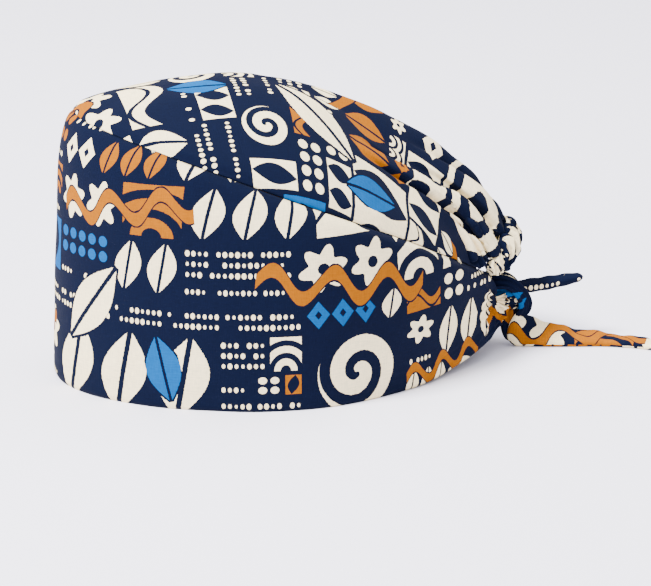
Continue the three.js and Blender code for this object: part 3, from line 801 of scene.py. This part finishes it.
# %% Add a node, and turn a hex colour to linear
def add(tree, kind, inputs=(), **settings):
    node = tree.nodes.new("ShaderNode" + kind)
    for key, value in settings.items():
        setattr(node, key, value)
    for key, value in inputs.items() if isinstance(inputs, dict) else enumerate(inputs):
        if isinstance(value, bpy.types.NodeSocket):
            tree.links.new(value, node.inputs[key])
        elif value is not None:
            node.inputs[key].default_value = value
    return node.outputs


def linear(hex_colour):
    parts = [int(hex_colour[i : i + 2], 16) / 255 for i in (1, 3, 5)]
    return [c / 12.92 if c <= 0.04045 else ((c + 0.055) / 1.055) ** 2.4 for c in parts] + [1]


NAVY, CREAM, ORANGE = linear("#050C22"), linear("#F6E4B6"), linear("#945400")
BLUE, LIGHT_BLUE = linear("#004E86"), linear("#0C6AA2")

# %% [markdown]
# Each motif is a rule on the place within its field: along, counted in the field's own height, and
# up, from 0 to 1. A rule gives 1 where there is ink. A leaf is as wide as a half wave of its
# height, a flower is a disc whose edge comes and goes, a swirl is a ring that grows as it turns,
# and so on.


# %% The motifs as one node group
# Each row makes one value: its name, what is done, and with what.
MOTIF_STEPS = [
    ("centred", "SUBTRACT", "up", 0.5),
    ("up_turn", "MULTIPLY", "up", math.pi),
    ("leaf_edge", "SINE", "up_turn"),
    # leaves in a row, and a block with leaves cut out of it
    ("leaf_turn", "MULTIPLY", "along", SIDE_BY_SIDE["leaves"]),
    ("leaf_part", "FRACT", "leaf_turn"),
    ("leaf_off", "SUBTRACT", "leaf_part", 0.5),
    ("leaf_lean", "MULTIPLY_ADD", "centred", -0.24, "leaf_off"),
    ("leaf_side", "ABSOLUTE", "leaf_lean"),
    ("leaf_half", "MULTIPLY", "leaf_edge", 0.4),
    ("leaf_in", "LESS_THAN", "leaf_side", "leaf_half"),
    ("leaf_rib", "GREATER_THAN", "leaf_side", 0.045),
    ("leaves", "MULTIPLY", "leaf_in", "leaf_rib"),
    ("hole_half", "MULTIPLY", "leaf_edge", 0.36),
    ("cutout", "GREATER_THAN", "leaf_side", "hole_half"),
    # one leaf that fills its field
    ("field_middle", "MULTIPLY", "span", 0.5),
    ("from_middle", "SUBTRACT", "along", "field_middle"),
    ("middle_side", "ABSOLUTE", "from_middle"),
    ("one_half", "MULTIPLY", "field_middle", "leaf_edge"),
    ("one_in", "LESS_THAN", "middle_side", "one_half"),
    ("one_rib", "GREATER_THAN", "middle_side", 0.022),
    ("leaf", "MULTIPLY", "one_in", "one_rib"),
    ("one_broad", "ADD", "one_half", 0.035),
    ("leaf_clear", "LESS_THAN", "middle_side", "one_broad"),
    # scales: rings about the foot of each arch
    ("part", "FRACT", "along"),
    ("part_x", "SUBTRACT", "part", 0.5),
    ("part_x2", "MULTIPLY", "part_x", "part_x"),
    ("up2", "MULTIPLY", "up", "up"),
    ("scale_r2", "ADD", "part_x2", "up2"),
    ("scale_r", "SQRT", "scale_r2"),
    ("scale_turn", "MULTIPLY", "scale_r", 2.7),
    ("scale_part", "FRACT", "scale_turn"),
    ("scales", "GREATER_THAN", "scale_part", 0.46),
    # flowers with an open eye
    ("centred2", "MULTIPLY", "centred", "centred"),
    ("disc_r2", "ADD", "part_x2", "centred2"),
    ("disc_r", "SQRT", "disc_r2"),
    ("disc_way", "ARCTAN2", "centred", "part_x"),
    ("petal_turn", "MULTIPLY", "disc_way", 6.0),
    ("petal_sine", "SINE", "petal_turn"),
    ("petal_edge", "MULTIPLY_ADD", "petal_sine", 0.09, 0.38),
    ("petal_in", "LESS_THAN", "disc_r", "petal_edge"),
    ("petal_eye", "GREATER_THAN", "disc_r", 0.11),
    ("petals", "MULTIPLY", "petal_in", "petal_eye"),
    ("petal_broad", "ADD", "petal_edge", 0.05),
    ("petals_clear", "LESS_THAN", "disc_r", "petal_broad"),
    # a swirl about the field's middle
    ("swirl_x2", "MULTIPLY", "from_middle", "from_middle"),
    ("swirl_r2", "ADD", "swirl_x2", "centred2"),
    ("swirl_r", "SQRT", "swirl_r2"),
    ("swirl_way", "ARCTAN2", "centred", "from_middle"),
    ("swirl_share", "MULTIPLY", "swirl_way", 0.5 / math.pi),
    ("swirl_turn", "MULTIPLY_ADD", "swirl_r", 3.1, "swirl_share"),
    ("swirl_part", "FRACT", "swirl_turn"),
    ("swirl_thread", "LESS_THAN", "swirl_part", 0.58),
    ("swirl_round", "LESS_THAN", "swirl_r", 0.5),
    ("swirl", "MULTIPLY", "swirl_thread", "swirl_round"),
    # lozenges with a hole
    ("loz_x", "ABSOLUTE", "part_x"),
    ("loz_y", "ABSOLUTE", "centred"),
    ("loz_sum", "ADD", "loz_x", "loz_y"),
    ("loz_in", "LESS_THAN", "loz_sum", 0.46),
    ("loz_hole", "GREATER_THAN", "loz_sum", 0.14),
    ("lozenges", "MULTIPLY", "loz_in", "loz_hole"),
    # two rows of dots
    ("dot_turn", "MULTIPLY", "along", SIDE_BY_SIDE["dots"]),
    ("dot_part", "FRACT", "dot_turn"),
    ("dot_x", "SUBTRACT", "dot_part", 0.5),
    ("dot_x2", "MULTIPLY", "dot_x", "dot_x"),
    ("dot_rows", "MULTIPLY", "up", 2.0),
    ("dot_row", "FRACT", "dot_rows"),
    ("dot_y", "SUBTRACT", "dot_row", 0.5),
    ("dot_y2", "MULTIPLY", "dot_y", "dot_y"),
    ("dot_r2", "ADD", "dot_x2", "dot_y2"),
    ("dots", "LESS_THAN", "dot_r2", 0.13),
    # a wave, and hills
    ("wave_turn", "MULTIPLY", "along", 4.4),
    ("wave_sine", "SINE", "wave_turn"),
    ("wave_off", "MULTIPLY_ADD", "wave_sine", -0.3, "centred"),
    ("wave_near", "ABSOLUTE", "wave_off"),
    ("wave", "LESS_THAN", "wave_near", 0.165),
    ("wave_clear", "LESS_THAN", "wave_near", 0.21),
    ("hill_turn", "MULTIPLY", "along", SIDE_BY_SIDE["hills"] * 2 * math.pi),
    ("hill_sine", "SINE", "hill_turn"),
    ("hill_off", "MULTIPLY_ADD", "hill_sine", -0.26, "up"),
    ("hill_in", "LESS_THAN", "hill_off", 0.6),
    ("hill_line", "SUBTRACT", "hill_off", 0.3),
    ("hill_near", "ABSOLUTE", "hill_line"),
    ("hill_open", "GREATER_THAN", "hill_near", 0.05),
    ("hills", "MULTIPLY", "hill_in", "hill_open"),
    # lines of small marks, some left out
    ("line", "FLOOR", "up"),
    ("line_up", "FRACT", "up"),
    ("mark_turn", "MULTIPLY", "along", SIDE_BY_SIDE["marks"]),
    ("mark_part", "FRACT", "mark_turn"),
    ("mark_count", "FLOOR", "mark_turn"),
    ("mark_chance", "CHANCE", "mark_count", "line", "span"),
    ("mark_there", "GREATER_THAN", "mark_chance", 0.16),
    ("mark_size", "MULTIPLY_ADD", "mark_chance", 0.12, 0.03),
    ("mark_x", "SUBTRACT", "mark_part", 0.5),
    ("mark_x2", "MULTIPLY", "mark_x", "mark_x"),
    ("mark_y", "SUBTRACT", "line_up", 0.5),
    ("mark_y2", "MULTIPLY", "mark_y", "mark_y"),
    ("mark_r2", "MULTIPLY_ADD", "mark_y2", 1.7, "mark_x2"),
    ("mark_in", "LESS_THAN", "mark_r2", "mark_size"),
    ("marks", "MULTIPLY", "mark_there", "mark_in"),
    # ink only within the field
    ("past_left", "GREATER_THAN", "along", 0.0),
    ("before_right", "LESS_THAN", "along", "span"),
    ("past_foot", "GREATER_THAN", "up", 0.0),
    ("before_top", "LESS_THAN", "up", "rise"),
    ("in_width", "MULTIPLY", "past_left", "before_right"),
    ("in_height", "MULTIPLY", "past_foot", "before_top"),
    ("inside", "MULTIPLY", "in_width", "in_height"),
]


def build_motifs():
    tree = bpy.data.node_groups.new("motifs", "ShaderNodeTree")
    names = ("along", "up", "motif", "span", "rise")
    for name in names:
        tree.interface.new_socket(name, in_out="INPUT", socket_type="NodeSocketFloat")
    for name in ("ink", "clear"):
        tree.interface.new_socket(name, in_out="OUTPUT", socket_type="NodeSocketFloat")
    made = dict(zip(names, tree.nodes.new("NodeGroupInput").outputs))
    for name, done, *parts in MOTIF_STEPS:
        values = [made.get(part, part) for part in parts]
        if done == "CHANCE":
            together = add(tree, "CombineXYZ", values)[0]
            made[name] = add(tree, "TexWhiteNoise", [together], noise_dimensions="3D")[0]
        else:
            made[name] = add(tree, "Math", values, operation=done)[0]
    inked, cleared = 0.0, 0.0
    for number, name in enumerate(MOTIFS[1:], 1):
        chosen = add(tree, "Math", [made["motif"], number, 0.4], operation="COMPARE")[0]
        inked = add(tree, "Math", [chosen, made[name], inked], operation="MULTIPLY_ADD")[0]
        if name + "_clear" in made:
            clear = made[name + "_clear"]
            cleared = add(tree, "Math", [chosen, clear, cleared], operation="MULTIPLY_ADD")[0]
    result = tree.nodes.new("NodeGroupOutput")
    for socket, total in zip(result.inputs, (inked, cleared)):
        within = add(tree, "Math", [total, made["inside"]], operation="MULTIPLY")[0]
        tree.links.new(within, socket)
    return tree


motifs = build_motifs()
print("motif group", len(motifs.nodes), "nodes")


# %% The cloth's material
def printed_cotton(name):
    material = bpy.data.materials.new(name)
    material.use_nodes = True
    tree = material.node_tree
    tree.nodes.clear()
    cloth = add(tree, "UVMap", uv_map="cloth")[0]
    bleed = add(tree, "TexNoise", {"Vector": cloth, "Scale": 1.1, "Detail": 2.0})["Color"]
    wobble = add(tree, "VectorMath", [bleed, (0.5, 0.5, 0.5)], operation="SUBTRACT")[0]
    colour = NAVY
    for screen in ("ground", "over"):
        place = add(tree, "UVMap", uv_map=screen + "_place")[0]
        moved = add(tree, "VectorMath", [wobble, (0.022, 0.022, 0)], operation="MULTIPLY")[0]
        uneven = add(tree, "VectorMath", [place, moved], operation="ADD")[0]
        split = add(tree, "SeparateXYZ", [uneven])
        facts = {
            key: add(tree, "Attribute", attribute_name=f"{screen}_{key}")["Fac"]
            for key in ("motif", "span", "rise", "ink")
        }
        group = tree.nodes.new("ShaderNodeGroup")
        group.node_tree = motifs
        drawn = [split[0], split[1], facts["motif"], facts["span"], facts["rise"]]
        for socket, value in zip(group.inputs, drawn):
            tree.links.new(value, socket)
        ink = add(tree, "Math", [facts["ink"], 0.25], operation="MULTIPLY")[0]
        inks = add(tree, "ValToRGB", [ink])
        ramp = inks[0].node.color_ramp
        ramp.interpolation = "CONSTANT"
        for step, ink_colour in enumerate([CREAM, ORANGE, BLUE, LIGHT_BLUE]):
            element = ramp.elements[step] if step < 2 else ramp.elements.new(0.25 * step - 0.12)
            element.position = max(0, 0.25 * step - 0.12)
            element.color = ink_colour
        keyed = add(tree, "Mix", {0: group.outputs[1], 6: colour, 7: NAVY}, data_type="RGBA")[2]
        colour = add(tree, "Mix", {0: group.outputs[0], 6: keyed, 7: inks[0]}, data_type="RGBA")[2]
    warp = add(tree, "VectorMath", [cloth, (0.35, 2.6, 1)], operation="MULTIPLY")[0]
    weft = add(tree, "VectorMath", [cloth, (2.6, 0.35, 1)], operation="MULTIPLY")[0]
    warp_thread = add(tree, "TexNoise", {"Vector": warp, "Scale": 0.6, "Detail": 1.0})["Fac"]
    weft_thread = add(tree, "TexNoise", {"Vector": weft, "Scale": 0.6, "Detail": 1.0})["Fac"]
    grain = add(tree, "Math", [warp_thread, weft_thread], operation="ADD")[0]
    swell = add(tree, "TexNoise", {"Vector": cloth, "Scale": 0.03, "Detail": 3.0})["Fac"]
    fine_tone = add(tree, "Math", [grain, 0.34, 0.66], operation="MULTIPLY_ADD")[0]
    broad_tone = add(tree, "Math", [swell, 0.12, 0.94], operation="MULTIPLY_ADD")[0]
    tone = add(tree, "Math", [fine_tone, broad_tone], operation="MULTIPLY")[0]
    shaded = add(tree, "VectorMath", {0: colour, 3: tone}, operation="SCALE")[0]
    bump = add(tree, "Bump", {"Strength": 0.35, "Distance": 0.0003, "Height": grain})[0]
    shader = add(tree, "BsdfPrincipled", {
        "Base Color": shaded, "Roughness": 0.9, "Specular IOR Level": 0.06,
        "Sheen Weight": 0.01, "Sheen Roughness": 0.5, "Normal": bump,
    })[0]
    result = tree.nodes.new("ShaderNodeOutputMaterial")
    tree.links.new(shader, result.inputs[0])
    return material


poplin = printed_cotton("printed_cotton_poplin")
SLOTS = {
    band_cloth: ("band_cotton", "band"),
    crown_cloth: ("crown_cotton", "crown"),
    casing_cloth: ("casing_cotton", "elastic_casing"),
    long_tie: ("tie_cotton", "long_tie"),
    short_tie: ("tie_cotton", "short_tie"),
    tie_loop: ("tie_cotton", "long_tie"),
    knot_core: ("tie_cotton", "knot"),
    knot_over: ("tie_cotton", "knot"),
}
for piece, (slot, node) in SLOTS.items():
    piece.data.materials.clear()
    piece.data.materials.append(poplin)
    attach(piece, "root")
    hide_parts(node)

# %% [markdown]

# %% [markdown]
# ## Floor and light
# The cap stands on a plain white table under a large soft light, with white all round.

# %% Floor
TABLE_SIZE = 8  # m
bpy.ops.object.select_all(action="DESELECT")
bpy.ops.mesh.primitive_plane_add(size=TABLE_SIZE, location=(0, 0, 0))
floor = bpy.context.object
floor.name = "floor"
paper = bpy.data.materials.new("matt_white_table")
paper.use_nodes = True
paper.node_tree.nodes["Principled BSDF"].inputs["Base Color"].default_value = linear("#EFEDF8")
paper.node_tree.nodes["Principled BSDF"].inputs["Roughness"].default_value = 0.9
floor.data.materials.append(paper)

# %% Light
world = bpy.data.worlds.new("studio")
bpy.context.scene.world = world
world.use_nodes = True
world.node_tree.nodes["Background"].inputs[0].default_value = linear("#F0F0FA")
world.node_tree.nodes["Background"].inputs[1].default_value = 1.5


def soft_light(name, place, size, watts):
    data = bpy.data.lights.new(name, "AREA")
    data.size = size
    data.energy = watts
    light = bpy.data.objects.new(name, data)
    bpy.context.scene.collection.objects.link(light)
    light.location = place
    towards_cap = Vector((0, 0, 0.05)) - Vector(place)
    light.rotation_euler = towards_cap.to_track_quat("-Z", "Y").to_euler()


soft_light("key", (0.5, -1.5, 2.4), 0.8, 285)
soft_light("overhead", (-0.6, 0.6, 2.6), 2.0, 60)
